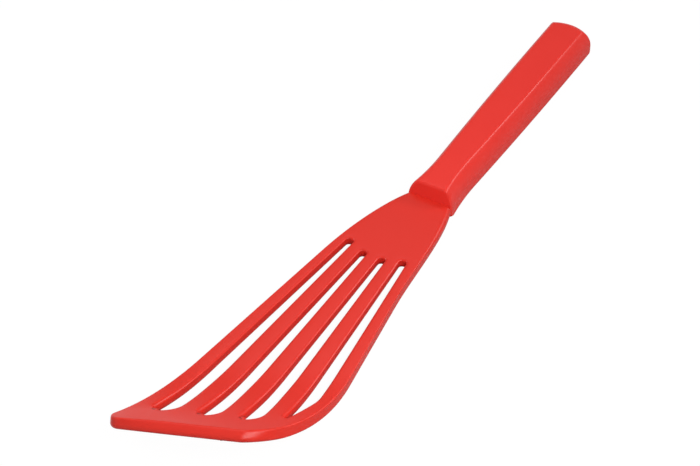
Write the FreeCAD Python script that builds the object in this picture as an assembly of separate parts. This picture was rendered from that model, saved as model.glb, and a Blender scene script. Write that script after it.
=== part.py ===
import FreeCAD, Part
import math
import os

from FreeCAD import Vector

# Fish spatula, in millimetres. +X runs from the butt to the blade's front edge, +Y to the blade's
# rounded front corner, +Z up. The tool lies at rest: the handle's flat underside and the belly of the
# blade touch Z = 0, and the origin is the middle of that underside.
# The blade is drawn in its own frame, X forward from the handle's front face and Z = 0 on its top face,
# then pitched and lifted into place.

# Handle, widths at the widest level
handle_length = 137.0
handle_width_front = 21.0
handle_width_middle = 20.4
handle_width_rear = 21.5
middle_back = 62.0
front_flare = 1.9
front_flare_length = 19.0
butt_length = 12.0
butt_exponent = 3.6
butt_bulge_share = 1.5
shoulder_width = 4.0
shoulder_depth = 8.3
lower_radius = 4.0
front_lean = 1.0

# Handle skin and core
skin_wall = 2.2
front_wall = 3.0
spigot_width = 13.0
spigot_length = 6.0
seat_clearance = 0.1

# Blade, stations measured forward from the handle's front face
blade_thickness = 4.5
blade_step = 7.3
blade_pitch = 1.48
blade_offset = 4.0
neck_width = 19.6
heel_station = 60.0
front_station = 140.0
blade_width_heel = 41.6
blade_width_front = 62.0
left_flare_length = 48.0
right_flare_length = 60.0
left_corner_radius = 4.5
right_corner_across = 24.0
right_corner_back = 44.5

# Slant of the front edge, and the curl, whose bend line runs parallel to that edge
front_slant = 21.8
bend_start = 102.0
bend_radius = 86.5
blade_reach = 150.6

# Drain slots, fanned evenly between the blade's two edge tines
slot_count = 4
slot_station = 45.0
edge_tine_heel = 3.6125
edge_tine_front = 5.9
slot_width_heel = 4.3
slot_width_front = 7.6
inner_slot_start = 40.0
outer_slot_start = 37.2
front_land = 14.1
slot_heel_radius = 2.0
slot_front_radius = 2.5
turn_setback = 34.1
turn_radius = 31.0

# Spring steel insert
insert_thickness = 1.0
insert_margin = 1.2
insert_front_margin = 3.0
tang_width = 10.0
tang_length = 96.0
tang_hole_diameter = 6.0
tang_hole_setback = 28.0
tang_hole_spacing = 45.0

# How far a cutting shape runs past what it cuts
overrun = 1.0

# Handles of the flare curves: forward and sideways share of the first, forward share of the second
left_flare_shares = (0.21, 0.43, 0.58)
right_flare_shares = (0.27, 0.79, 0.60)
# Inner poles of the rounded front corner's curve, on the front edge and on the side edge
right_corner_shares = (0.87, 0.17)
# Depths of the handle's outlines down the shoulder
shoulder_level_shares = (0.0, 0.25, 0.5, 0.75, 1.0)
lower_level_angles = (0.0, 30.0, 60.0, 90.0)
side_steps = 10
butt_steps = 12

front_x = handle_length / 2
butt_back = handle_length - butt_length
slant = math.radians(front_slant)
# The pitched neck starts where its lower rear edge meets the handle's front face
neck_back = blade_thickness * math.tan(math.radians(blade_pitch))
UP = Vector(0, 0, 1)


def along(start, end, share):
    return start + (end - start) * share


def rounded_path(points, radii):
    """Edges from the first point to the last, with an arc of the given radius at each corner between."""
    edges = []
    last = points[0]
    for before, corner, after, radius in zip(points, points[1:], points[2:], radii):
        back = (before - corner).normalize()
        ahead = (after - corner).normalize()
        half_angle = back.getAngle(ahead) / 2
        start = corner + back * (radius / math.tan(half_angle))
        end = corner + ahead * (radius / math.tan(half_angle))
        to_centre = (back + ahead).normalize()
        middle = corner + to_centre * (radius / math.sin(half_angle) - radius)
        edges.append(Part.makeLine(last, start))
        edges.append(Part.Arc(start, middle, end).toShape())
        last = end
    edges.append(Part.makeLine(last, points[-1]))
    return edges


def prism(edges, low, high):
    """A closed outline drawn on Z = 0, as an upright block between two heights."""
    face = Part.Face(Part.Wire(edges))
    face.translate(UP * low)
    return face.extrude(UP * (high - low))


def rectangle(back, front, width):
    half = width / 2
    corners = [Vector(back, -half), Vector(front, -half), Vector(front, half), Vector(back, half)]
    return [Part.makeLine(a, b) for a, b in zip(corners, corners[1:] + corners[:1])]


def half_width(station):
    """Half the distance between the blade's straight edges, at a station along the blade."""
    share = (station - heel_station) / (front_station - heel_station)
    return along(blade_width_heel, blade_width_front, share) / 2


def edge_point(station, side, inset):
    return Vector(station, side * (half_width(station) - inset) - blade_offset)


def edge_at_reach(reach, side, inset):
    """Where a straight edge meets the line that runs parallel to the front edge at a reach."""
    start = edge_point(0, side, inset)
    step = edge_point(front_station, side, inset) - start
    normal = Vector(math.cos(slant), math.sin(slant))
    return start + step * ((reach - start.dot(normal)) / step.dot(normal))


def flare_edge(side, length, shares, inset):
    """Curve from the neck to the straight edge, which it joins without a corner."""
    neck = Vector(neck_back + inset, side * (neck_width / 2 - inset))
    end = edge_point(length, side, inset)
    first = Vector(length * shares[0], along(neck.y, end.y, shares[1]))
    second = edge_point(length * shares[2], side, inset)
    curve = Part.BezierCurve()
    curve.setPoles([neck, first, second, end])
    return curve.toShape()


def blade_outline(inset, reach):
    """Plan of the blade, drawn in by an inset, with its front line just past a reach."""
    left_flare = flare_edge(-1, left_flare_length, left_flare_shares, inset)
    right_flare = flare_edge(1, right_flare_length, right_flare_shares, inset)
    left_start = edge_point(left_flare_length, -1, inset)
    left_front = edge_at_reach(reach + overrun, -1, inset)
    right_front = edge_at_reach(reach + overrun, 1, inset)
    right_end = edge_point(right_flare_length, 1, inset)
    front_way = (left_front - right_front).normalize()
    side_way = (right_end - right_front).normalize()
    front_share, side_share = right_corner_shares
    curve = Part.BezierCurve()
    curve.setPoles([
        right_front + front_way * right_corner_across,
        right_front + front_way * (right_corner_across * front_share),
        right_front + side_way * (right_corner_back * side_share),
        right_front + side_way * right_corner_back,
    ])
    front = rounded_path([left_start, left_front, curve.StartPoint], [left_corner_radius - inset])
    side = Part.makeLine(curve.EndPoint, right_end)
    neck = Part.makeLine(right_flare.Vertexes[0].Point, left_flare.Vertexes[0].Point)
    return [left_flare] + front + [curve.toShape(), side, right_flare, neck]


def slot_edge_point(index, side, station, grow):
    """A point on one side of a slot: +1 for the side towards +Y."""
    share = (station - slot_station) / (front_station - slot_station)
    width = along(slot_width_heel, slot_width_front, share)
    edge_tine = along(edge_tine_heel, edge_tine_front, share)
    pitch = ((half_width(station) - edge_tine) * 2 - width) / (slot_count - 1)
    middle = (index - (slot_count - 1) / 2) * pitch - blade_offset
    return Vector(station, middle + side * (width / 2 + grow))


def slot_at_reach(index, side, reach, grow):
    start = slot_edge_point(index, side, 0, grow)
    step = slot_edge_point(index, side, front_station, grow) - start
    normal = Vector(math.cos(slant), math.sin(slant))
    return start + step * ((reach - start.dot(normal)) / step.dot(normal))


def square_front(index, left_heel, right_heel, middle, grow):
    """A slot that ends on a line parallel to the blade's front edge."""
    reach = blade_reach - front_land + grow
    left_front = slot_at_reach(index, -1, reach, grow)
    right_front = slot_at_reach(index, 1, reach, grow)
    heel_radius = slot_heel_radius + grow
    front_radius = slot_front_radius + grow
    return rounded_path(
        [middle, left_heel, left_front, right_front, right_heel, middle],
        [heel_radius, front_radius, front_radius, heel_radius],
    )


def turned_front(index, left_heel, right_heel, middle, grow):
    """The slot beside the rounded corner: its outer side turns in on an arc and meets the other side."""
    radius = turn_radius + grow
    turn_station = blade_reach - turn_setback
    turn = slot_edge_point(index, 1, turn_station, grow)
    ahead = (turn - slot_edge_point(index, 1, slot_station, grow)).normalize()
    centre = turn + Vector(ahead.y, -ahead.x) * radius
    foot = slot_edge_point(index, -1, turn_station, grow)
    side = (foot - slot_edge_point(index, -1, slot_station, grow)).normalize()
    to_centre = centre - foot
    reach = to_centre.dot(side)
    offset = to_centre - side * reach
    tip = foot + side * (reach + math.sqrt(radius ** 2 - offset.Length ** 2))
    bow = ((tip - centre).normalize() + (turn - centre).normalize()).normalize()
    heel_radius = slot_heel_radius + grow
    out = rounded_path([middle, left_heel, tip], [heel_radius])
    arc = Part.Arc(tip, centre + bow * radius, turn).toShape()
    home = rounded_path([turn, right_heel, middle], [heel_radius])
    return out + [arc] + home


def slot_outline(index, grow):
    """Plan of one slot, widened all round by grow."""
    is_outer = index in (0, slot_count - 1)
    start = (outer_slot_start if is_outer else inner_slot_start) - grow
    left_heel = slot_edge_point(index, -1, start, grow)
    right_heel = slot_edge_point(index, 1, start, grow)
    middle = along(left_heel, right_heel, 1 / 2)
    shape = turned_front if index == slot_count - 1 else square_front
    return shape(index, left_heel, right_heel, middle, grow)


def curl_angle(reach, depth):
    """Angle of the curl at which the level at a depth below the top face gets to a reach."""
    return math.asin((reach - bend_start) / (bend_radius + depth))


def curled_sheet(top, bottom, angle):
    """Flat sheet between two depths below the top face, which curls up to an angle at its front."""
    upper = bend_radius + top
    lower = bend_radius + bottom
    back = -(tang_length + blade_width_front)
    side = blade_width_front + tang_length

    def on_arc(radius, turn):
        return Vector(bend_start + radius * math.sin(turn), -side, bend_radius - radius * math.cos(turn))

    rear_top = Vector(back, -side, -top)
    rear_bottom = Vector(back, -side, -bottom)
    edges = [
        Part.makeLine(rear_top, on_arc(upper, 0)),
        Part.Arc(on_arc(upper, 0), on_arc(upper, angle / 2), on_arc(upper, angle)).toShape(),
        Part.makeLine(on_arc(upper, angle), on_arc(lower, angle)),
        Part.Arc(on_arc(lower, angle), on_arc(lower, angle / 2), on_arc(lower, 0)).toShape(),
        Part.makeLine(on_arc(lower, 0), rear_bottom),
        Part.makeLine(rear_bottom, rear_top),
    ]
    sheet = Part.Face(Part.Wire(edges)).extrude(Vector(0, side * 2, 0))
    sheet.rotate(Vector(), UP, front_slant)
    return sheet


def blade_prism(edges):
    return prism(edges, -(blade_thickness + overrun), bend_radius)


def make_insert():
    """Stamped steel sheet: blade plate with its tines, and the tang with its keying holes."""
    top = (blade_thickness - insert_thickness) / 2
    bottom = top + insert_thickness
    reach = blade_reach - insert_front_margin
    sheet = curled_sheet(top, bottom, curl_angle(reach, bottom))
    plate = blade_prism(blade_outline(insert_margin, reach))
    tang = blade_prism(rectangle(-tang_length, neck_width, tang_width))
    insert = sheet.common(plate.fuse(tang))
    for index in range(slot_count):
        insert = insert.cut(blade_prism(slot_outline(index, insert_margin)))
    for back in (tang_hole_setback, tang_hole_setback + tang_hole_spacing):
        low = Vector(-back, 0, -blade_thickness)
        insert = insert.cut(Part.makeCylinder(tang_hole_diameter / 2, blade_thickness, low))
    return insert.removeSplitter()


def make_spigot(clearance):
    """The blade's short plug behind the neck, or with a clearance the socket that takes it."""
    sheet = curled_sheet(-clearance, blade_thickness + clearance, curl_angle(blade_reach, blade_thickness))
    block = rectangle(-(spigot_length + clearance), overrun, spigot_width + clearance * 2)
    return sheet.common(blade_prism(block))


def make_blade_cover(insert):
    """The soft blade moulded round the steel insert."""
    sheet = curled_sheet(0, blade_thickness, curl_angle(blade_reach, blade_thickness))
    cover = sheet.common(blade_prism(blade_outline(0, blade_reach)))
    for index in range(slot_count):
        cover = cover.cut(blade_prism(slot_outline(index, 0)))
    cover = cover.fuse(make_spigot(0)).removeSplitter()
    return cover.cut(insert)


def place_blade(shape, lift):
    """Pitches a shape from the blade's frame and lifts it to its place in front of the handle."""
    placed = shape.copy()
    placed.rotate(Vector(), Vector(0, 1, 0), blade_pitch)
    placed.translate(Vector(front_x, 0, lift))
    return placed


def handle_half_width(back):
    """Half the handle's width at a distance from its front: a parabola, and a flare that fades out."""
    start = handle_width_front / 2 - front_flare
    rise_middle = handle_width_middle / 2 - start
    rise_rear = handle_width_rear / 2 - start
    share = back / butt_back
    middle_share = middle_back / butt_back
    bow = (rise_rear * middle_share - rise_middle) / (middle_share * (1 - middle_share))
    flare = front_flare * max(0, 1 - back / front_flare_length) ** 2
    return start + rise_rear * share - bow * share * (1 - share) + flare


def handle_outline(inset, wall, front, height):
    """Plan of the handle at one level, drawn in from its widest outline by an inset and a wall."""
    right = []
    for step in range(side_steps + 1):
        back = along(front, butt_back, (step / side_steps) ** 2)
        right.append(Vector(front_x - back, handle_half_width(back) - inset - wall, height))
    left = [Vector(point.x, -point.y, point.z) for point in right]
    length = butt_length - inset * butt_bulge_share - wall
    power = 2 / butt_exponent
    butt = []
    for step in range(butt_steps + 1):
        turn = math.pi * step / butt_steps
        forward = length * abs(math.sin(turn)) ** power if 0 < step < butt_steps else 0
        across = right[-1].y * math.copysign(abs(math.cos(turn)) ** power, math.cos(turn))
        butt.append(Vector(right[-1].x - forward, across, height))
    edges = [Part.makeLine(left[0], right[0])]
    for points in (right, butt, left[::-1]):
        curve = Part.BSplineCurve()
        curve.interpolate(points)
        edges.append(curve.toShape())
    return Part.Wire(edges)


def handle_levels(height):
    """Depth and inset of each outline: down the convex shoulder, then round the lower edge."""
    radius = (shoulder_width ** 2 + shoulder_depth ** 2) / (2 * shoulder_width)
    levels = []
    for share in shoulder_level_shares:
        rise = shoulder_depth * (1 - share)
        levels.append((shoulder_depth * share, radius - math.sqrt(radius ** 2 - rise ** 2)))
    for degrees in lower_level_angles:
        turn = math.radians(degrees)
        depth = height - lower_radius * (1 - math.sin(turn))
        levels.append((depth, lower_radius * (1 - math.cos(turn))))
    return levels


def handle_body(height, wall, front):
    """Loft through the handle's outlines, all of them one wall inside the skin."""
    wires = []
    for depth, inset in handle_levels(height):
        share = depth / height
        level = along(height - wall, wall, share)
        wires.append(handle_outline(inset, wall, front, level))
    return Part.makeLoft(wires, True, False)


def make_handle_core(height, socket, insert):
    """Rigid core moulded onto the tang, whose holes it fills."""
    return handle_body(height, skin_wall, front_wall).cut(socket).cut(insert)


def make_handle_cover(height, rest, socket):
    """Handle skin, with the front face leaning back above the blade."""
    half = handle_width_front
    lean = Part.makePolygon([
        Vector(front_x, -half, rest),
        Vector(front_x - front_lean, -half, height),
        Vector(front_x - front_lean, -half, height + overrun),
        Vector(front_x + overrun, -half, height + overrun),
        Vector(front_x + overrun, -half, rest),
        Vector(front_x, -half, rest),
    ])
    wedge = Part.Face(lean).extrude(Vector(0, half * 2, 0))
    body = handle_body(height, 0, 0).cut(wedge)
    return body.cut(handle_body(height, skin_wall, front_wall)).cut(socket)


def main():
    flat_insert = make_insert()
    flat_cover = make_blade_cover(flat_insert)
    rest = -place_blade(flat_cover, 0).optimalBoundingBox().ZMin
    height = rest + blade_step
    insert = place_blade(flat_insert, rest)
    socket = place_blade(make_spigot(seat_clearance), rest)
    parts = {
        "blade_insert": insert,
        "blade_cover": place_blade(flat_cover, rest),
        "handle_core": make_handle_core(height, socket, insert),
        "handle_cover": make_handle_cover(height, rest, socket),
    }
    os.makedirs("parts", exist_ok=True)
    for node, shape in parts.items():
        box = shape.optimalBoundingBox()
        print(node, shape.isValid(), len(shape.Solids), round(shape.Volume), box)
        shape.exportStep("parts/" + node + ".step")
    print("handle height", height, "blade rest height", rest)


main()
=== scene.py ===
"""Red slotted fish spatula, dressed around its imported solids.

Shapes are worked out in millimetres in the frame of the solids: +X from the butt to the blade's front
edge, +Y to the blade's rounded front corner, +Z up. Meshes are stored in metres.
"""
import math

import bmesh
import bpy
import numpy as np
from mathutils import Matrix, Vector
from mathutils.geometry import delaunay_2d_cdt


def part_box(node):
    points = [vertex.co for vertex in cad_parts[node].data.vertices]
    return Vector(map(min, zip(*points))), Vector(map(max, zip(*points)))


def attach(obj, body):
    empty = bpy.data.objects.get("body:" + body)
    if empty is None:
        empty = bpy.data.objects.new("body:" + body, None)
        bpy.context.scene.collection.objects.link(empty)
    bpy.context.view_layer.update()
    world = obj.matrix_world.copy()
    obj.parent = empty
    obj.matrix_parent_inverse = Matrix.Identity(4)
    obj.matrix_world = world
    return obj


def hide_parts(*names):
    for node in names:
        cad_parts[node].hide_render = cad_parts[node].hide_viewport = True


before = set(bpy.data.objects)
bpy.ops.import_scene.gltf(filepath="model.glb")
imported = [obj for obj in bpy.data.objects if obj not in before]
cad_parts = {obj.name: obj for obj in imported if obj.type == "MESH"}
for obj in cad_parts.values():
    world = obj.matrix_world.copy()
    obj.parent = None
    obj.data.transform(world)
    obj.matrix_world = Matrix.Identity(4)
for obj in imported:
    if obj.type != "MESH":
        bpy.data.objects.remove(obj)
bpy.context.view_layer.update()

# Metres in a millimetre
MM = 0.001

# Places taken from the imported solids
handle_high = np.array(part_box("handle_cover")[1]) / MM
HANDLE_FRONT = handle_high[0]
HANDLE_HEIGHT = handle_high[2]

# Handle, close to the sizes of its solid. Its butt is an arc with small corners, and the draft is how far
# each level of it is drawn in, as a share of the section's inset
BUTT_BACK = 124.45
BUTT_LENGTH = 12.55
BUTT_RADIUS = 18.0
BUTT_CORNER = 0.6
BUTT_DRAFT = 1.27
# Half widths at three distances back from the front, and what the flare adds at the front
WIDTH_STATIONS = np.array([0.0, 62.0, BUTT_BACK])
HALF_WIDTHS = np.array([8.53, 10.19, 10.77])
FRONT_FLARE = 2.0
FLARE_LENGTH = 22.5
# Arc of the shoulder, from the widest level in and up to the ridge, and rounding under the widest level
SHOULDER_WIDTH = 3.65
SHOULDER_DEPTH = 9.2
SHOULDER_RADIUS = (SHOULDER_WIDTH ** 2 + SHOULDER_DEPTH ** 2) / (2 * SHOULDER_WIDTH)
LOWER_RADIUS = 2.95
# How far the front face leans back at the top, and how far back the lean fades out
FRONT_LEAN = 1.0
LEAN_FADE = 15.0
# Roundings of the ridge, which is softer at the butt and at the front, and of the front rim
RIDGE_RADIUS = 1.8
BUTT_RIDGE_RADIUS = 3.35
FRONT_RIDGE_RADIUS = 2.4
FRONT_RIDGE_FADE = 15.0
RIM_RADIUS = 1.0
UNDER_RIM_RADIUS = 3.6
# Turn of the normal below level within which the rim goes over to the underside's radius
UNDER_RIM_TURN = math.radians(35)

# Blade, in its own frame: X forward from the handle's front face, Z = 0 on its top face
BLADE_STEP = 7.0
BLADE_PITCH = math.radians(1.48)
THICKNESS = 4.8
OFFSET = 4.0
NECK_HALF = 10.05
SPIGOT_HALF = 6.5
SPIGOT_LENGTH = 6.0
NECK_DEPTH = 3.0
HEEL_STATION = 60.0
FRONT_STATION = 140.0
HEEL_HALF = 20.8
FRONT_HALF = 31.0
LEFT_FLARE = 48.0
RIGHT_FLARE = 60.0
LEFT_FLARE_SHARES = (0.21, 0.43, 0.58)
RIGHT_FLARE_SHARES = (0.27, 0.79, 0.60)
LEFT_CORNER = 3.5
# The left edge flares towards its front corner, past a station, and less and less away from that edge
TIP_FLARE = 0.5
TIP_FLARE_START = 142.0
TIP_FLARE_LENGTH = 34.0
TIP_FLARE_FADE = 25.0
RIGHT_CORNER_BACK = 45.8
RIGHT_CORNER_ACROSS = 22.0
# How far the corner curve's inner poles stay from its point, as shares of the two sides
RIGHT_CORNER_SHARES = (0.87, 0.17)
RIGHT_EDGE_OUT = 0.18
SLANT = math.radians(21.8)
BEND_START = 102.0
BEND_RADIUS = 85.0
BLADE_REACH = 151.0
# Reach of the top face, with the front wall square to the curled sheet
FRONT_ANGLE = math.asin((BLADE_REACH - BEND_START) / (BEND_RADIUS + THICKNESS))
TOP_REACH = BEND_START + BEND_RADIUS * math.sin(FRONT_ANGLE)

# The front wall leans back. Towards the top it is set back along the left edge, within a stretch of reach.
# The setback is zero at the left front corner, and fades in round it
FRONT_SETBACK = 1.7
SETBACK_STRETCH = 10.0
SETBACK_FADE = 20.0

# Slots, fanned between two edge tines. Their front ends lie at one reach, apart from the right slot's, which
# follows the rounded corner from its turn to its tip
SLOT_COUNT = 4
SLOT_DRIFT = 0.2
SLOT_STATION = 45.0
EDGE_TINE_HEEL = 3.95
EDGE_TINE_FRONT = 6.25
SLOT_WIDTH_HEEL = 3.6
SLOT_WIDTH_FRONT = 6.85
# How much further right the left side of each slot lies
SLOT_LEFT_IN = (0.1, 0.45, 0.5, 0.3)
SLOT_STARTS = (36.5, 40.0, 40.0, 37.2)
SLOT_REACH = 136.0
SLOT_HEEL_RADIUS = 1.25
SLOT_LEFT_RADIUS = 1.8
SLOT_RIGHT_RADII = (10.5, 8.5, 8.5)
TURN_STATION = 120.0
TURN_RADIUS = 14.0
TIP_STATION = 138.3
TIP_RADIUS = 0.4

# Roundings of the blade's edges: along the sides, softer at the neck, on the spigot, at the slots with their
# softer front ends, and at the left front corner
EDGE_ROUND = 0.6
NECK_ROUND = 2.4
LEFT_NECK_ROUND = 1.2
NECK_ROUND_FADE = 42.0
UNDER_ROUND = 0.7
NECK_UNDER_ROUND = 1.8
FRONT_UNDER_ROUND = 2.0
TUCKED_ROUND = 0.4
TUCKED_CORNER = 0.9
SLOT_ROUND = 1.6
SLOT_SWEEP = math.radians(52)
SLOT_FRONT_ROUND = 1.7
SLOT_ROUND_FADE = 22.0
SLOT_UNDER_ROUND = 1.8
SLOT_FRONT_UNDER_ROUND = 2.6
CORNER_ROUND = 2.3
CORNER_ROUND_FADE = 5.0

# Mesh density of the blade: steps along its loops, rows down its edges, and the lattice of its faces, with
# the share of a step that it keeps from the loops
LINE_STEP = 1.6
ARC_STEP = math.radians(9)
LEAST_ARC_STEPS = 3
CURVE_POINTS = 44
ROUND_ROWS = 7
WALL_SHARES = np.array([0.03, 0.25, 0.5, 0.75])
LATTICE = 1.7
LATTICE_SPAN = 80.0
LATTICE_GAP = 0.55
# An offset is lengthened at a loop's bends, down to this cosine of half the bend
LEAST_BEND_COSINE = 0.7
# The fill of a plan: only the triangles within its edges, with points this close taken as one
TRIANGLES_WITHIN = 1
PLAN_TOLERANCE = 1e-6
# Mesh density of the handle: points along its path and rows down its section
FACE_RINGS = 6
RIM_POINTS = 8
SIDE_STEPS = 75
TURN_STEPS = 64
TOP_ROWS = 9
# Ridge fillet, shoulder, wall, and the lower rounding, which has as many rows as the underside
SIDE_ROWS = (7, 16, 3, 10)
# Closer vertices than this are merged, in metres
MERGE_DISTANCE = 0.002 * MM

# Finishes. The reds are mottled towards a deeper red by slow flow and fine grain. Their roughness varies
# with both, and falls where edges are rubbed. Noise scales are per metre
# The blade's red is darker and the handle's red lighter, partly for their own difference of tone and partly
# as painted light: painted shade for the weaker light on the blade, and painted light for the brighter light
# on the handle's top
BLADE_RED = (0.75, 0.029, 0.017, 1)
BLADE_DEEP_RED = (0.705, 0.026, 0.015, 1)
HANDLE_RED = (0.85, 0.037, 0.026, 1)
HANDLE_DEEP_RED = (0.81, 0.033, 0.023, 1)
FLOW_SCALE = 60.0
GRAIN_SCALE = 3200.0
GRAIN_DEPTH = 0.03 * MM
FLOW_SHARE = 0.7
NOISE_MIDDLE = 0.5
RED_ROUGHNESS = 0.38
GRAIN_ROUGHNESS = 0.12
FLOW_ROUGHNESS = 0.1
EDGE_POLISH = 0.06
RED_INDEX = 1.36
# Steel is finely lined along the blade, and the core is flecked
STEEL_DARK = (0.5, 0.5, 0.49, 1)
STEEL_PALE = (0.66, 0.66, 0.65, 1)
LINE_SCALES = (60.0, 4000.0, 60.0)
LINE_DEPTH = 0.01 * MM
STEEL_ROUGHNESS = 0.25
LINE_ROUGHNESS = 0.2
CORE_DARK = (0.035, 0.035, 0.04, 1)
CORE_PALE = (0.07, 0.07, 0.075, 1)
FLECK_SCALE = 900.0
FLECK_DEPTH = 0.03 * MM
CORE_ROUGHNESS = 0.55
FLECK_ROUGHNESS = 0.2

# Studio, in metres: the floor's own grey, its white for the rays that show it, and how much of that is
# mirrored on the left and, past the dim side's limits, on the right
FLOOR_HALF = 4.0
FLOOR_DROP = -0.0003
FLOOR_GREY = (0.46, 0.46, 0.46, 1)
FLOOR_WHITE = 0.92
FLOOR_GLOW = 1.06
FLOOR_MIRRORED = 0.8
DIM_MIRRORED = 0.05
DIM_SIDE = (-0.046, -0.026)
# Strengths of the sky at three heights, the limits between them, and its dimming towards the right
SKY_HORIZON = 0.7
SKY_MIDDLE = 0.15
SKY_TOP = 0.46
SKY_LOWER = (0.1, 0.4)
SKY_UPPER = (0.6, 0.85)
SKY_SIDE = (0.1, 0.6)
SKY_DIM = 0.7
LAMP_TARGET = np.array([0.09, -0.005, 0.01])
# Direction, distance and size in metres, and power in watts of each lamp
LAMPS = {
    "back_high": ((-0.42, -0.25, 0.87), 1.3, 0.5, 1.6),
    "near_left": ((0.15, -0.78, 0.61), 0.45, 0.2, 0.45),
    "high_right": ((0.0, 0.7, 0.7), 1.3, 0.5, 2.4),
    "near_right": ((0.47, 0.605, 0.64), 0.42, 0.2, 0.86),
    "back_right": ((-0.62, 0.5, 0.5), 1.3, 0.3, 4.8),
    "front": ((0.9, -0.1, 0.4), 1.3, 0.6, 0.9),
}

# Camera, with its place in millimetres
CAMERA_PLACE = np.array([626.893, 290.704, 552.854])
CAMERA_AZIMUTH = math.radians(30.52)
CAMERA_ELEVATION = math.radians(41.88)
CAMERA_LENS = 102.72
SENSOR_WIDTH = 36.0

# Directions in the blade's plan: square to the front edge, and along it
ALONG = np.array([math.cos(SLANT), math.sin(SLANT)])
ACROSS = np.array([-math.sin(SLANT), math.cos(SLANT)])


def unit(vectors):
    """Vectors divided by their lengths."""
    return vectors / np.linalg.norm(vectors, axis=-1, keepdims=True)


def fade(share):
    """Smooth step: 3 s^2 - 2 s^3 of a share held between 0 and 1."""
    share = np.clip(share, 0, 1)
    return share ** 2 * (3 - 2 * share)


def segment(start, end):
    """Points from start up to, and without, the end, in equal steps."""
    start, end = np.asarray(start, float), np.asarray(end, float)
    count = max(1, math.ceil(np.linalg.norm(end - start) / LINE_STEP))
    return start + np.linspace(0, 1, count, endpoint=False)[:, None] * (end - start)


def bezier(start, first, second, end):
    """Cubic curve: the four poles weighted by the Bernstein polynomials."""
    along = np.linspace(0, 1, CURVE_POINTS)[:, None]
    rest = 1 - along
    weights = rest ** 3, 3 * along * rest ** 2, 3 * along ** 2 * rest, along ** 3
    return sum(weight * np.asarray(pole) for weight, pole in zip(weights, (start, first, second, end)))


def arc(centre, start, end, radius):
    """The shorter arc about a centre, from the direction of start to the direction of end."""
    first = math.atan2(*(start - centre)[::-1])
    turn = math.remainder(math.atan2(*(end - centre)[::-1]) - first, 2 * math.pi)
    steps = math.ceil(abs(turn) / ARC_STEP), math.ceil(abs(turn) * radius / LINE_STEP)
    angle = first + np.linspace(0, turn, max(LEAST_ARC_STEPS, *steps) + 1)
    return centre + radius * np.stack([np.cos(angle), np.sin(angle)], 1)


def corner(before, at, after, radius):
    """Arc that rounds a corner: tangent to both sides, at radius / tan(half the angle) from the corner."""
    back, ahead = unit(before - at), unit(after - at)
    half = math.acos(np.clip(back @ ahead, -1, 1)) / 2
    start = at + back * radius / math.tan(half)
    end = at + ahead * radius / math.tan(half)
    return arc(at + unit(back + ahead) * radius / math.sin(half), start, end, radius)


def soft_corner(before, at, after, lengths, shares):
    """Cubic curve round a corner, tangent to both sides at its own distance along each."""
    start, end = unit(before - at) * lengths[0], unit(after - at) * lengths[1]
    return bezier(at + start, at + start * shares[0], at + end * shares[1], at + end)


def chain(*stretches):
    """Stretches joined end to end, each gap between them filled with a straight run of points."""
    points = []
    for stretch, following in zip(stretches, stretches[1:] + stretches[:1]):
        run = segment(stretch[-1], following[0])
        points += [stretch, run[1:]]
    return np.concatenate(points)


def half_width(station):
    """Half the blade's width: a straight line through its values at the heel and the front."""
    share = (station - HEEL_STATION) / (FRONT_STATION - HEEL_STATION)
    return HEEL_HALF + (FRONT_HALF - HEEL_HALF) * share


def edge_point(station, side):
    """The blade's straight edge at a station, on the left (-1) or the right (1)."""
    out = RIGHT_EDGE_OUT if side > 0 else 0
    return np.array([station, side * half_width(station) + out - OFFSET])


LEFT_WAY = unit(edge_point(FRONT_STATION, -1) - edge_point(HEEL_STATION, -1))


def at_reach(point_at, reach):
    """Where a straight line of stations crosses the line parallel to the front edge at a reach."""
    start = point_at(0)
    step = point_at(FRONT_STATION) - start
    return start + step * (reach - start @ ALONG) / (step @ ALONG)


LEFT_FRONT = at_reach(lambda station: edge_point(station, -1), TOP_REACH)


def flare(side, length, shares):
    """Cubic curve from the neck to a side's straight edge, which it meets along that edge."""
    neck = np.array([0.0, side * NECK_HALF])
    end = edge_point(length, side)
    first = np.array([length * shares[0], neck[1] + (end[1] - neck[1]) * shares[1]])
    return bezier(neck, first, edge_point(length * shares[2], side), end)


def blade_loop():
    """Plan of the blade's top face, anticlockwise: spigot, left side, slanted front, right side."""
    right_front = at_reach(lambda station: edge_point(station, 1), TOP_REACH)
    left, right = flare(-1, LEFT_FLARE, LEFT_FLARE_SHARES), flare(1, RIGHT_FLARE, RIGHT_FLARE_SHARES)
    sides = np.array([[1, -1], [1, 1]])
    neck_left, neck_right = sides * (-NECK_DEPTH, NECK_HALF)
    root_left, root_right = sides * (-NECK_DEPTH, SPIGOT_HALF)
    tail_left, tail_right = sides * (-SPIGOT_LENGTH, SPIGOT_HALF)
    small = TUCKED_CORNER
    return chain(
        corner(neck_right, root_right, tail_right, small),
        corner(root_right, tail_right, tail_left, small),
        corner(tail_right, tail_left, root_left, small),
        corner(tail_left, root_left, neck_left, small),
        corner(root_left, neck_left, left[0], small),
        left,
        corner(left[-1], LEFT_FRONT, right_front, LEFT_CORNER),
        soft_corner(LEFT_FRONT, right_front, right[-1], (RIGHT_CORNER_ACROSS, RIGHT_CORNER_BACK),
                    RIGHT_CORNER_SHARES),
        right[::-1],
        corner(right[0], neck_right, root_right, small),
    )


def slot_side(index, side):
    """The straight side of a slot as a function of the station.

    The slots share the width between the edge tines: equal slots at an equal pitch, at every station.
    """
    shift = SLOT_LEFT_IN[index] if side < 0 else 0

    def point(station):
        share = (station - SLOT_STATION) / (FRONT_STATION - SLOT_STATION)
        width = SLOT_WIDTH_HEEL + (SLOT_WIDTH_FRONT - SLOT_WIDTH_HEEL) * share
        edge_tine = EDGE_TINE_HEEL + (EDGE_TINE_FRONT - EDGE_TINE_HEEL) * share
        pitch = ((half_width(station) - edge_tine) * 2 - width) / (SLOT_COUNT - 1)
        middle = (index - (SLOT_COUNT - 1) / 2) * pitch - OFFSET - SLOT_DRIFT * share
        return np.array([station, middle + side * width / 2 + shift])

    return point


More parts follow.
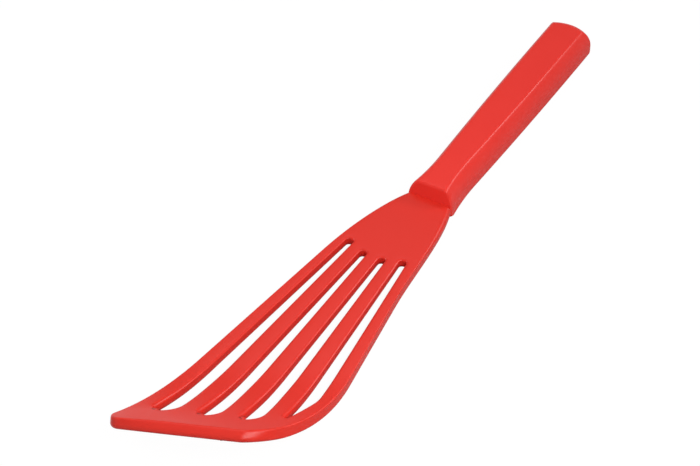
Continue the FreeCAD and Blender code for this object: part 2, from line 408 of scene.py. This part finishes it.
def slot_loop(index):
    """Plan of a slot, clockwise: back along its left side, round the heel, forward along its right side."""
    left, right = slot_side(index, -1), slot_side(index, 1)
    heel = left(SLOT_STARTS[index]), right(SLOT_STARTS[index])
    if index < SLOT_COUNT - 1:
        front = at_reach(left, SLOT_REACH), at_reach(right, SLOT_REACH)
        return chain(
            corner(front[1], front[0], heel[0], SLOT_LEFT_RADIUS),
            corner(front[0], heel[0], heel[1], SLOT_HEEL_RADIUS),
            corner(heel[0], heel[1], front[1], SLOT_HEEL_RADIUS),
            corner(heel[1], front[1], front[0], SLOT_RIGHT_RADII[index]),
        )
    turn, tip = right(TURN_STATION), left(TIP_STATION)
    return chain(
        corner(turn, tip, heel[0], TIP_RADIUS),
        corner(tip, heel[0], heel[1], SLOT_HEEL_RADIUS),
        corner(heel[0], heel[1], turn, SLOT_HEEL_RADIUS),
        corner(heel[1], turn, tip, TURN_RADIUS),
    )


def inward(loop):
    """Unit normals on the left of a closed loop, lengthened so that an offset keeps its distance."""
    before, after = unit(loop - np.roll(loop, 1, 0)), unit(np.roll(loop, -1, 0) - loop)
    tangent = unit(before + after)
    normal = np.stack([-tangent[:, 1], tangent[:, 0]], 1)
    return normal / np.maximum((tangent * after).sum(1, keepdims=True), LEAST_BEND_COSINE)


def inside(points, loop):
    """Which points lie in a closed loop: the ray along +X from each crosses an odd number of its edges."""
    here, after = loop[None], np.roll(loop, -1, 0)[None]
    x, y = points[:, None, 0], points[:, None, 1]
    spans = (here[..., 1] > y) != (after[..., 1] > y)
    rise = np.where(spans, after[..., 1] - here[..., 1], 1)
    crossing = here[..., 0] + (y - here[..., 1]) * (after[..., 0] - here[..., 0]) / rise
    return (spans & (x < crossing)).sum(1) % 2 == 1


def curled(plan, depth):
    """Blade frame to place: flat up to the bend line, then an arc of the bend radius plus the depth.

    The arc's angle has the sine (distance past the bend line) / (bend radius). The result is pitched
    about +Y and lifted to its place in front of the handle. Before that, the left edge is flared towards
    its front corner, and what lies above the underside is set back near the front edge.
    """
    forward = np.clip((plan[:, 0] - TIP_FLARE_START) / TIP_FLARE_LENGTH, 0, None)
    inside_left = plan[:, 1] + half_width(plan[:, 0]) + OFFSET
    out = TIP_FLARE * forward ** 2 * fade(1 - inside_left / TIP_FLARE_FADE)
    plan = plan - np.stack([0 * out, out], 1)
    near_front = fade(1 - (TOP_REACH - plan @ ALONG) / SETBACK_STRETCH)
    near_front *= 1 - fade(1 - np.linalg.norm(plan - LEFT_FRONT, axis=1) / SETBACK_FADE)
    setback = FRONT_SETBACK * near_front * (1 - depth / THICKNESS) ** 2 / (LEFT_WAY @ ALONG)
    plan = plan - setback[:, None] * LEFT_WAY
    along, across = plan @ ALONG, plan @ ACROSS
    angle = np.arcsin(np.clip(along - BEND_START, 0, None) / BEND_RADIUS)
    along = np.minimum(along, BEND_START) + (BEND_RADIUS + depth) * np.sin(angle)
    z = BEND_RADIUS - (BEND_RADIUS + depth) * np.cos(angle)
    x = along * ALONG[0] + across * ACROSS[0]
    y = along * ALONG[1] + across * ACROSS[1]
    cosine, sine = math.cos(BLADE_PITCH), math.sin(BLADE_PITCH)
    lift = HANDLE_HEIGHT - BLADE_STEP
    return np.stack([HANDLE_FRONT + x * cosine + z * sine, y, lift - x * sine + z * cosine], -1)


def edge_profile(upper, sweep, under):
    """Insets and depths round an edge: an arc of the upper rounding, wall, quarter arc of the under one.

    The upper arc turns through its sweep, so that below a quarter turn it meets the wall at a crisp line.
    """
    share = np.linspace(0, 1, ROUND_ROWS)[:, None]
    turn = share * math.pi / 2
    wall = WALL_SHARES[:, None]
    inset = np.concatenate([upper * (np.sin(sweep) - np.sin(share * sweep)), wall * 0 * upper,
                            under * (1 - np.cos(turn))])
    drop = upper * (1 - np.cos(sweep))
    top = upper * (1 - np.cos(share * sweep))
    bottom = THICKNESS - under * (1 - np.sin(turn))
    middle = drop + (THICKNESS - under - drop) * wall
    return inset, np.concatenate([top, middle, bottom])


def outline_rounding(outline):
    """Upper radius, upper sweep and under radius of the rounding along the blade's outline.

    Each radius goes from its value along the sides to those at the neck, at the front and at the left front
    corner by smooth steps, and to a small one on the spigot.
    """
    station = outline[:, 0]
    neck_share = fade(1 - station / NECK_ROUND_FADE)
    corner_share = fade(1 - np.linalg.norm(outline - LEFT_FRONT, axis=1) / CORNER_ROUND_FADE)
    front_share = fade(1 - (TOP_REACH - outline @ ALONG) / SETBACK_STRETCH)
    out_share = np.clip(1 + station / (NECK_DEPTH - TUCKED_CORNER), 0, 1)
    neck_round = np.where(outline[:, 1] > 0, NECK_ROUND, LEFT_NECK_ROUND)
    upper = EDGE_ROUND + (neck_round - EDGE_ROUND) * neck_share + (CORNER_ROUND - EDGE_ROUND) * corner_share
    under = UNDER_ROUND + (FRONT_UNDER_ROUND - UNDER_ROUND) * front_share
    under += (NECK_UNDER_ROUND - UNDER_ROUND) * neck_share
    under = np.maximum(under, CORNER_ROUND * corner_share)
    upper = TUCKED_ROUND + (upper - TUCKED_ROUND) * out_share
    under = TUCKED_ROUND + (under - TUCKED_ROUND) * out_share
    return upper, np.full(len(outline), math.pi / 2), under


def slot_rounding(loop):
    """Upper radius, upper sweep and under radius along a slot: a smooth step from its sides to its front."""
    front_share = fade(1 - (SLOT_REACH - loop @ ALONG) / SLOT_ROUND_FADE)
    sides = SLOT_ROUND, SLOT_SWEEP, SLOT_UNDER_ROUND
    fronts = SLOT_FRONT_ROUND, math.pi / 2, SLOT_FRONT_UNDER_ROUND
    return [side + (front - side) * front_share for side, front in zip(sides, fronts)]


def face_lattice(rings):
    """Points of a lattice along the bend line, within the outline, outside the slots and clear of both."""
    borders = np.concatenate(rings)
    reach = np.arange(borders.min(0) @ ALONG - LATTICE, TOP_REACH, LATTICE)
    side = np.arange(-LATTICE_SPAN, LATTICE_SPAN, LATTICE)
    points = (reach[:, None, None] * ALONG + side[None, :, None] * ACROSS).reshape(-1, 2)
    keep = inside(points, rings[0])
    for slot in rings[1:]:
        keep &= ~inside(points, slot)
    points = points[keep]
    gap = np.linalg.norm(points[:, None] - borders[None], axis=2).min(1)
    return points[gap > LATTICE * LATTICE_GAP]


def face_triangles(rings, lattice, edges):
    """Triangles of a constrained Delaunay plan, within the outline and outside the slots."""
    points = np.concatenate(rings + [lattice])
    found = delaunay_2d_cdt([tuple(point) for point in points], edges.tolist(), [],
                            TRIANGLES_WITHIN, PLAN_TOLERANCE)
    source = np.array([ids[0] for ids in found[3]])
    triangles = source[np.array(found[2])]
    middle = points[triangles].mean(1)
    in_slot = np.any([inside(middle, slot) for slot in rings[1:]], axis=0)
    return triangles[inside(middle, rings[0]) & ~in_slot]


def blade_mesh():
    """The blade: a rounded edge carried along each plan loop, and top and bottom faces filled between them.

    The faces are one plan of triangles, on a lattice that follows the bend line, lifted onto the top and
    the bottom of the curled sheet. A vertex of the edges is rubbed by the sine of its share of the way down.
    """
    outline = blade_loop()
    slots = [slot_loop(index) for index in range(SLOT_COUNT)]
    loops = [outline] + slots
    roundings = [outline_rounding(outline)] + [slot_rounding(slot) for slot in slots]

    plans, depths, edges, first = [], [], [], 0
    for loop, (upper, sweep, under) in zip(loops, roundings):
        inset, depth = edge_profile(upper[None], sweep[None], under[None])
        plans.append(loop[None] + inset[..., None] * inward(loop)[None])
        depths.append(depth)
        ids = first + np.arange(len(loop))
        edges.append(np.stack([ids, np.roll(ids, -1)], 1))
        first += len(loop)
    plan, depth, edges = np.concatenate(plans, 1), np.concatenate(depths, 1), np.concatenate(edges)
    rows, ring = depth.shape

    top_rings = [rings[0] for rings in plans]
    lattice = face_lattice(top_rings)
    triangles = face_triangles(top_rings, lattice, edges)

    count = len(lattice)
    vertices = np.concatenate([
        curled(plan.reshape(-1, 2), depth.reshape(-1)),
        curled(lattice, np.zeros(count)),
        curled(lattice, np.full(count, THICKNESS)),
    ])
    top_ids = np.concatenate([np.arange(ring), rows * ring + np.arange(count)])
    bottom_ring = (rows - 1) * ring + np.arange(ring)
    bottom_ids = np.concatenate([bottom_ring, rows * ring + count + np.arange(count)])
    row = np.arange(rows - 1)[:, None] * ring
    here, after = edges.T
    quads = np.stack([row + here, row + ring + here, row + ring + after, row + after], -1).reshape(-1, 4)
    polygons = quads.tolist() + top_ids[triangles].tolist() + bottom_ids[triangles[:, ::-1]].tolist()
    worn = np.zeros(len(vertices))
    worn[:rows * ring] = np.repeat(np.sin(np.linspace(0, math.pi, rows)), ring)
    return vertices, polygons, worn


def handle_path():
    """The handle's path in plan, from the front face's centre along one side, round the butt and back.

    Rows: distance back from the front, cosine and sine of the turn round the butt, how far the section is
    drawn in round the front rim, and share of the way to the front face's centre.
    """
    rim = np.linspace(math.pi / 2, 0, RIM_POINTS)
    face = np.linspace(1, 0, FACE_RINGS, endpoint=False)
    side = np.linspace(RIM_RADIUS, BUTT_BACK, SIDE_STEPS + 1)[1:]
    back = np.concatenate([0 * face, RIM_RADIUS * (1 - np.sin(rim)), side])
    draw = np.concatenate([0 * face + RIM_RADIUS, RIM_RADIUS * (1 - np.cos(rim)), 0 * side])
    shrink = np.concatenate([face, 0 * rim, 0 * side])
    turn = np.linspace(0, math.pi, TURN_STEPS + 1)[1:-1]
    zeros = np.zeros(len(turn))
    return np.stack([
        np.concatenate([back, zeros + BUTT_BACK, back[::-1]]),
        np.concatenate([back * 0 + 1, np.cos(turn), back * 0 - 1]),
        np.concatenate([back * 0, np.sin(turn), back * 0]),
        np.concatenate([draw, zeros, draw[::-1]]),
        np.concatenate([shrink, zeros, shrink[::-1]]),
    ])


def handle_section(width, ridge):
    """Insets, depths, normal angles, shares and rubbing down one side of the handle's section.

    From the middle line: flat top, a ridge fillet tangent to the top and the shoulder, the shoulder's arc,
    a short wall, the lower rounding and the flat underside. On each arc the angle is that of the outward
    normal. The share of the way out from the middle line is below 1 on the flats alone.
    """
    reach = np.sqrt((SHOULDER_RADIUS - ridge) ** 2 - (SHOULDER_DEPTH - ridge) ** 2)
    fillet_inset = SHOULDER_RADIUS - reach
    tangent = np.arcsin((SHOULDER_DEPTH - ridge) / (SHOULDER_RADIUS - ridge))
    quarter = math.pi / 2
    on_top = np.linspace(0, 1, TOP_ROWS)[:, None]
    on_fillet, on_shoulder, on_wall, on_lower = [np.linspace(0, 1, rows + 1)[1:, None] for rows in SIDE_ROWS]
    fillet = quarter + (tangent - quarter) * on_fillet
    shoulder = tangent * (1 - on_shoulder)
    lower = -quarter * on_lower
    flat = 0 * width
    wall_end = HANDLE_HEIGHT - LOWER_RADIUS
    inset = [fillet_inset + on_top * flat,
             fillet_inset - ridge * np.cos(fillet),
             SHOULDER_RADIUS * (1 - np.cos(shoulder)),
             on_wall * flat,
             LOWER_RADIUS * (1 - np.cos(lower)) + flat,
             LOWER_RADIUS + on_lower * flat]
    depth = [on_top * flat,
             ridge * (1 - np.sin(fillet)),
             SHOULDER_DEPTH - SHOULDER_RADIUS * np.sin(shoulder),
             SHOULDER_DEPTH + (wall_end - SHOULDER_DEPTH) * on_wall + flat,
             wall_end - LOWER_RADIUS * np.sin(lower) + flat,
             HANDLE_HEIGHT + on_lower * flat]
    angle = [on_top * flat + quarter, fillet, shoulder,
             on_wall * flat, lower + flat, on_lower * flat - quarter]
    share = [on_top + flat] + [rows * 0 + 1 for rows in inset[1:-1]] + [1 - on_lower + flat]
    rubbed = [rows * 0 for rows in inset]
    rubbed[1] = np.sin(math.pi * on_fillet) + flat
    return [np.concatenate(rows) for rows in (inset, depth, angle, share, rubbed)]


def handle_mesh():
    """The handle as one grid: its section carried along its path in plan.

    Round the butt each level is an arc with rolled corners: the arc and the sides, both drawn in by the
    corner's radius, plus that radius along the turning normal. The flats run in to a point of the middle
    line. The section is drawn in along its normals round the front rim, and shrinks to a point on the front
    face, which leans back above the blade.
    """
    back, cosine, sine, draw, shrink = handle_path()
    waist = np.polyval(np.polyfit(WIDTH_STATIONS, HALF_WIDTHS, 2), back)
    width = waist + FRONT_FLARE * np.clip(1 - back / FLARE_LENGTH, 0, 1) ** 2
    ridge = RIDGE_RADIUS + (BUTT_RIDGE_RADIUS - RIDGE_RADIUS) * sine ** 3
    ridge += (FRONT_RIDGE_RADIUS - RIDGE_RADIUS) * fade(1 - back / FRONT_RIDGE_FADE)
    inset, depth, angle, share, rubbed = handle_section(width[None], ridge[None])
    rim = RIM_RADIUS + (UNDER_RIM_RADIUS - RIM_RADIUS) * np.clip(-angle / UNDER_RIM_TURN, 0, 1)
    inset = inset + draw * rim / RIM_RADIUS * np.cos(angle)
    depth = depth + draw * rim / RIM_RADIUS * np.sin(angle)
    behind = rim + (back - RIM_RADIUS) * (BUTT_BACK - rim) / (BUTT_BACK - RIM_RADIUS)
    behind = np.where(back < RIM_RADIUS, back * rim / RIM_RADIUS, behind)
    across = np.abs(cosine)
    end = BUTT_RADIUS - BUTT_DRAFT * inset - BUTT_CORNER
    inner = np.minimum(end * across, width - inset - BUTT_CORNER)
    butt = np.sqrt(end ** 2 - inner ** 2) + BUTT_LENGTH - BUTT_RADIUS + BUTT_CORNER * sine
    butt = np.where(sine > 0, butt, 0) * share
    z = HANDLE_HEIGHT - depth
    y = np.sign(cosine) * (inner + BUTT_CORNER * across) * share
    middle = HANDLE_HEIGHT / 2
    z = middle + (z - middle) * (1 - shrink)
    y = y * (1 - shrink)
    rest = HANDLE_HEIGHT - BLADE_STEP
    lean = FRONT_LEAN * np.clip((z - rest) / BLADE_STEP, 0, None) * np.clip(1 - back / LEAN_FADE, 0, 1)
    x = HANDLE_FRONT - lean - behind - butt
    rows, columns = x.shape
    ids = np.arange(rows * columns).reshape(rows, columns)
    quads = np.stack([ids[:-1, :-1], ids[1:, :-1], ids[1:, 1:], ids[:-1, 1:]], -1).reshape(-1, 4)
    rubbed_rim = np.where(shrink > 0, 0, np.clip(draw * (RIM_RADIUS - draw) * 4 / RIM_RADIUS ** 2, 0, 1))
    worn = np.maximum(rubbed, np.broadcast_to(rubbed_rim, rubbed.shape))
    return np.stack([x, y, z], -1).reshape(-1, 3), quads.tolist(), worn.reshape(-1)


def piece(name, vertices, polygons, worn, finish, slot, node):
    """Makes a mesh of a surface, closes its seams, and sets it in place of a solid."""
    mesh = bpy.data.meshes.new(name)
    mesh.from_pydata(vertices * MM, [], polygons)
    mesh.attributes.new("edge", "FLOAT", "POINT").data.foreach_set("value", worn.astype(np.float32))
    shape = bmesh.new()
    shape.from_mesh(mesh)
    bmesh.ops.remove_doubles(shape, verts=shape.verts, dist=MERGE_DISTANCE)
    bmesh.ops.recalc_face_normals(shape, faces=shape.faces)
    shape.to_mesh(mesh)
    shape.free()
    mesh.shade_smooth()
    mesh.materials.append(finish)
    thing = bpy.data.objects.new(name, mesh)
    bpy.context.scene.collection.objects.link(thing)
    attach(thing, "root")
    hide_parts(node)


class Signal:
    """A socket that takes part in sums: each operator adds a Math node to its tree."""

    def __init__(self, tree, socket=None):
        self.tree = tree
        self.socket = socket

    def node(self, kind, settings=None, inputs=None, output=0):
        """Adds a node, sets it up, fills or links its inputs, and returns one of its outputs."""
        made = self.tree.nodes.new(kind)
        for key, value in (settings or {}).items():
            setattr(made, key, value)
        for key, value in (inputs or {}).items():
            if isinstance(value, Signal):
                self.tree.links.new(value.socket, made.inputs[key])
            else:
                made.inputs[key].default_value = value
        return Signal(self.tree, made.outputs[output] if made.outputs else None)

    def sum(self, operation, first, second):
        """Adds a Math node that combines two values."""
        return self.node("ShaderNodeMath", {"operation": operation}, {0: first, 1: second})

    def __add__(self, other):
        return self.sum("ADD", self, other)

    def __sub__(self, other):
        return self.sum("SUBTRACT", self, other)

    def __rsub__(self, other):
        return self.sum("SUBTRACT", other, self)

    def __mul__(self, other):
        return self.sum("MULTIPLY", self, other)

    __radd__ = __add__
    __rmul__ = __mul__


def new_finish(name):
    """An empty material and the start of its node tree."""
    material = bpy.data.materials.new(name)
    material.use_nodes = True
    material.node_tree.nodes.clear()
    return material, Signal(material.node_tree)


def noise(tree, place, scale, detail):
    """Values of a noise about its middle, at a scale and with a number of finer octaves."""
    return tree.node("ShaderNodeTexNoise", None, {"Vector": place, "Scale": scale, "Detail": detail}, "Fac")


def blend(tree, share, first, second):
    """A colour mixed from two by a share."""
    return tree.node("ShaderNodeMix", {"data_type": "RGBA"}, {"Factor": share, "A": first, "B": second}, 2)


def moulded_red(name, colour, deep):
    """Satin moulded elastomer: fine eroded grain, slow flow mottling, edges rubbed a little smoother."""
    material, tree = new_finish(name)
    place = tree.node("ShaderNodeTexCoord", output="Object")
    flow = noise(tree, place, FLOW_SCALE, detail=3.0)
    grain = noise(tree, place, GRAIN_SCALE, detail=2.0)
    edge = tree.node("ShaderNodeAttribute", {"attribute_name": "edge"}, output="Fac")
    red = blend(tree, flow * FLOW_SHARE + grain * (1 - FLOW_SHARE), deep, colour)
    rough = RED_ROUGHNESS + (grain - NOISE_MIDDLE) * GRAIN_ROUGHNESS + (flow - NOISE_MIDDLE) * FLOW_ROUGHNESS
    bump = tree.node("ShaderNodeBump", None, {"Strength": 0.35, "Distance": GRAIN_DEPTH, "Height": grain})
    shader = tree.node("ShaderNodeBsdfPrincipled", None, {
        "Base Color": red, "Roughness": rough - edge * EDGE_POLISH, "Normal": bump, "IOR": RED_INDEX})
    tree.node("ShaderNodeOutputMaterial", None, {"Surface": shader})
    return material


def spring_steel():
    """Rolled steel sheet: fine lines along the blade, paler and darker."""
    material, tree = new_finish("spring_steel")
    place = tree.node("ShaderNodeTexCoord", output="Object")
    drawn = tree.node("ShaderNodeMapping", None, {"Vector": place, "Scale": LINE_SCALES})
    lines = noise(tree, drawn, scale=1.0, detail=2.0)
    steel = blend(tree, lines, STEEL_DARK, STEEL_PALE)
    rough = STEEL_ROUGHNESS + lines * LINE_ROUGHNESS
    bump = tree.node("ShaderNodeBump", None, {"Strength": 0.2, "Distance": LINE_DEPTH, "Height": lines})
    shader = tree.node("ShaderNodeBsdfPrincipled", None, {
        "Base Color": steel, "Metallic": 1.0, "Roughness": rough, "Normal": bump})
    tree.node("ShaderNodeOutputMaterial", None, {"Surface": shader})
    return material


def core_plastic():
    """Glass-filled moulding: dark, with pale flecks of fibre and a dry grain."""
    material, tree = new_finish("core_plastic")
    place = tree.node("ShaderNodeTexCoord", output="Object")
    fleck = noise(tree, place, FLECK_SCALE, detail=3.0)
    dark = blend(tree, fleck, CORE_DARK, CORE_PALE)
    rough = CORE_ROUGHNESS + fleck * FLECK_ROUGHNESS
    bump = tree.node("ShaderNodeBump", None, {"Strength": 0.3, "Distance": FLECK_DEPTH, "Height": fleck})
    shader = tree.node("ShaderNodeBsdfPrincipled", None,
                       {"Base Color": dark, "Roughness": rough, "Normal": bump})
    tree.node("ShaderNodeOutputMaterial", None, {"Surface": shader})
    return material


def dress(node, finish):
    """Gives a solid that stays in the scene its finish."""
    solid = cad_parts[node]
    solid.data.materials.clear()
    solid.data.materials.append(finish)


def studio():
    """White floor, a sky that is brightest at its horizon and dimmer to the right, and lamps all round."""
    floor = bpy.data.meshes.new("floor")
    corners = [(-1, -1), (1, -1), (1, 1), (-1, 1)]
    floor.from_pydata([(x * FLOOR_HALF, y * FLOOR_HALF, FLOOR_DROP) for x, y in corners], [], [(0, 1, 2, 3)])
    material, tree = new_finish("floor")
    matt = tree.node("ShaderNodeBsdfDiffuse", None, {"Color": FLOOR_GREY})
    white = tree.node("ShaderNodeEmission", None, {"Color": (1, 1, 1, 1), "Strength": FLOOR_GLOW})
    mix = tree.node("ShaderNodeMixShader", None, {0: seen_ray(tree) * FLOOR_WHITE, 1: matt, 2: white})
    tree.node("ShaderNodeOutputMaterial", None, {"Surface": mix})
    floor.materials.append(material)
    thing = bpy.data.objects.new("floor", floor)
    bpy.context.scene.collection.objects.link(thing)

    world = bpy.data.worlds.new("studio")
    bpy.context.scene.world = world
    world.use_nodes = True
    world.node_tree.nodes.clear()
    sky = Signal(world.node_tree)
    way = sky.node("ShaderNodeTexCoord", output="Generated")
    height = sky.node("ShaderNodeSeparateXYZ", None, {"Vector": way}, "Z")
    upper = between(sky, height, *SKY_LOWER)
    top = between(sky, height, *SKY_UPPER)
    strength = SKY_HORIZON + upper * (SKY_MIDDLE - SKY_HORIZON) + top * (SKY_TOP - SKY_MIDDLE)
    across = sky.node("ShaderNodeSeparateXYZ", None, {"Vector": way}, "Y")
    strength = strength * (1 - between(sky, across, *SKY_SIDE) * SKY_DIM)
    camera_ray = sky.node("ShaderNodeLightPath", output="Is Camera Ray")
    strength = strength + camera_ray * (1 - strength)
    back = sky.node("ShaderNodeBackground", None, {"Color": (1, 1, 1, 1), "Strength": strength})
    sky.node("ShaderNodeOutputWorld", None, {"Surface": back})

    for name, (way, distance, size, power) in LAMPS.items():
        light = bpy.data.lights.new(name, "AREA")
        light.size = size
        light.energy = power
        thing = bpy.data.objects.new(name, light)
        thing.matrix_world = facing(LAMP_TARGET + unit(np.array(way)) * distance, LAMP_TARGET)
        bpy.context.scene.collection.objects.link(thing)


def seen_ray(tree):
    """1 for the rays that show the floor itself, from the camera or through glass.

    Mirrored rays have a share that falls off to the right of the object, where the studio is dim.
    """
    camera_ray, mirrored, through = [tree.node("ShaderNodeLightPath", output=kind)
                                     for kind in ("Is Camera Ray", "Is Glossy Ray", "Is Transmission Ray")]
    place = tree.node("ShaderNodeTexCoord", output="Object")
    across = tree.node("ShaderNodeSeparateXYZ", None, {"Vector": place}, "Y")
    right = between(tree, across, *DIM_SIDE)
    mirrored = mirrored * (FLOOR_MIRRORED + right * (DIM_MIRRORED - FLOOR_MIRRORED))
    return tree.node("ShaderNodeMath", {"operation": "ADD", "use_clamp": True},
                     {0: camera_ray + mirrored, 1: through})


def between(tree, value, low, high):
    """0 below one value, 1 above another, and a smooth step between."""
    return tree.node("ShaderNodeMapRange", {"interpolation_type": "SMOOTHSTEP"},
                     {"Value": value, "From Min": low, "From Max": high})


def facing(place, target):
    """A matrix at a place whose -Z looks at a target, with no roll."""
    back = unit(place - target)
    right = unit(np.cross((0, 0, 1), back))
    up = np.cross(back, right)
    matrix = np.eye(4)
    matrix[:3] = np.stack([right, up, back, place], 1)
    return Matrix(matrix.tolist())


def camera():
    """A level camera at the photograph's viewing angle."""
    flat = math.cos(CAMERA_ELEVATION)
    back = np.array([math.cos(CAMERA_AZIMUTH) * flat, math.sin(CAMERA_AZIMUTH) * flat,
                     math.sin(CAMERA_ELEVATION)])
    data = bpy.data.cameras.new("camera")
    data.lens = CAMERA_LENS
    data.sensor_width = SENSOR_WIDTH
    thing = bpy.data.objects.new("camera", data)
    place = CAMERA_PLACE * MM
    thing.matrix_world = facing(place, place - back)
    bpy.context.scene.collection.objects.link(thing)
    bpy.context.scene.camera = thing


blade_red = moulded_red("red_blade", BLADE_RED, BLADE_DEEP_RED)
handle_red = moulded_red("red_handle", HANDLE_RED, HANDLE_DEEP_RED)
piece("blade", *blade_mesh(), blade_red, "red_blade", "blade_cover")
piece("handle", *handle_mesh(), handle_red, "red_handle", "handle_cover")
dress("blade_insert", spring_steel())
dress("handle_core", core_plastic())
studio()
camera()
bpy.context.scene.view_settings.view_transform = "Standard"
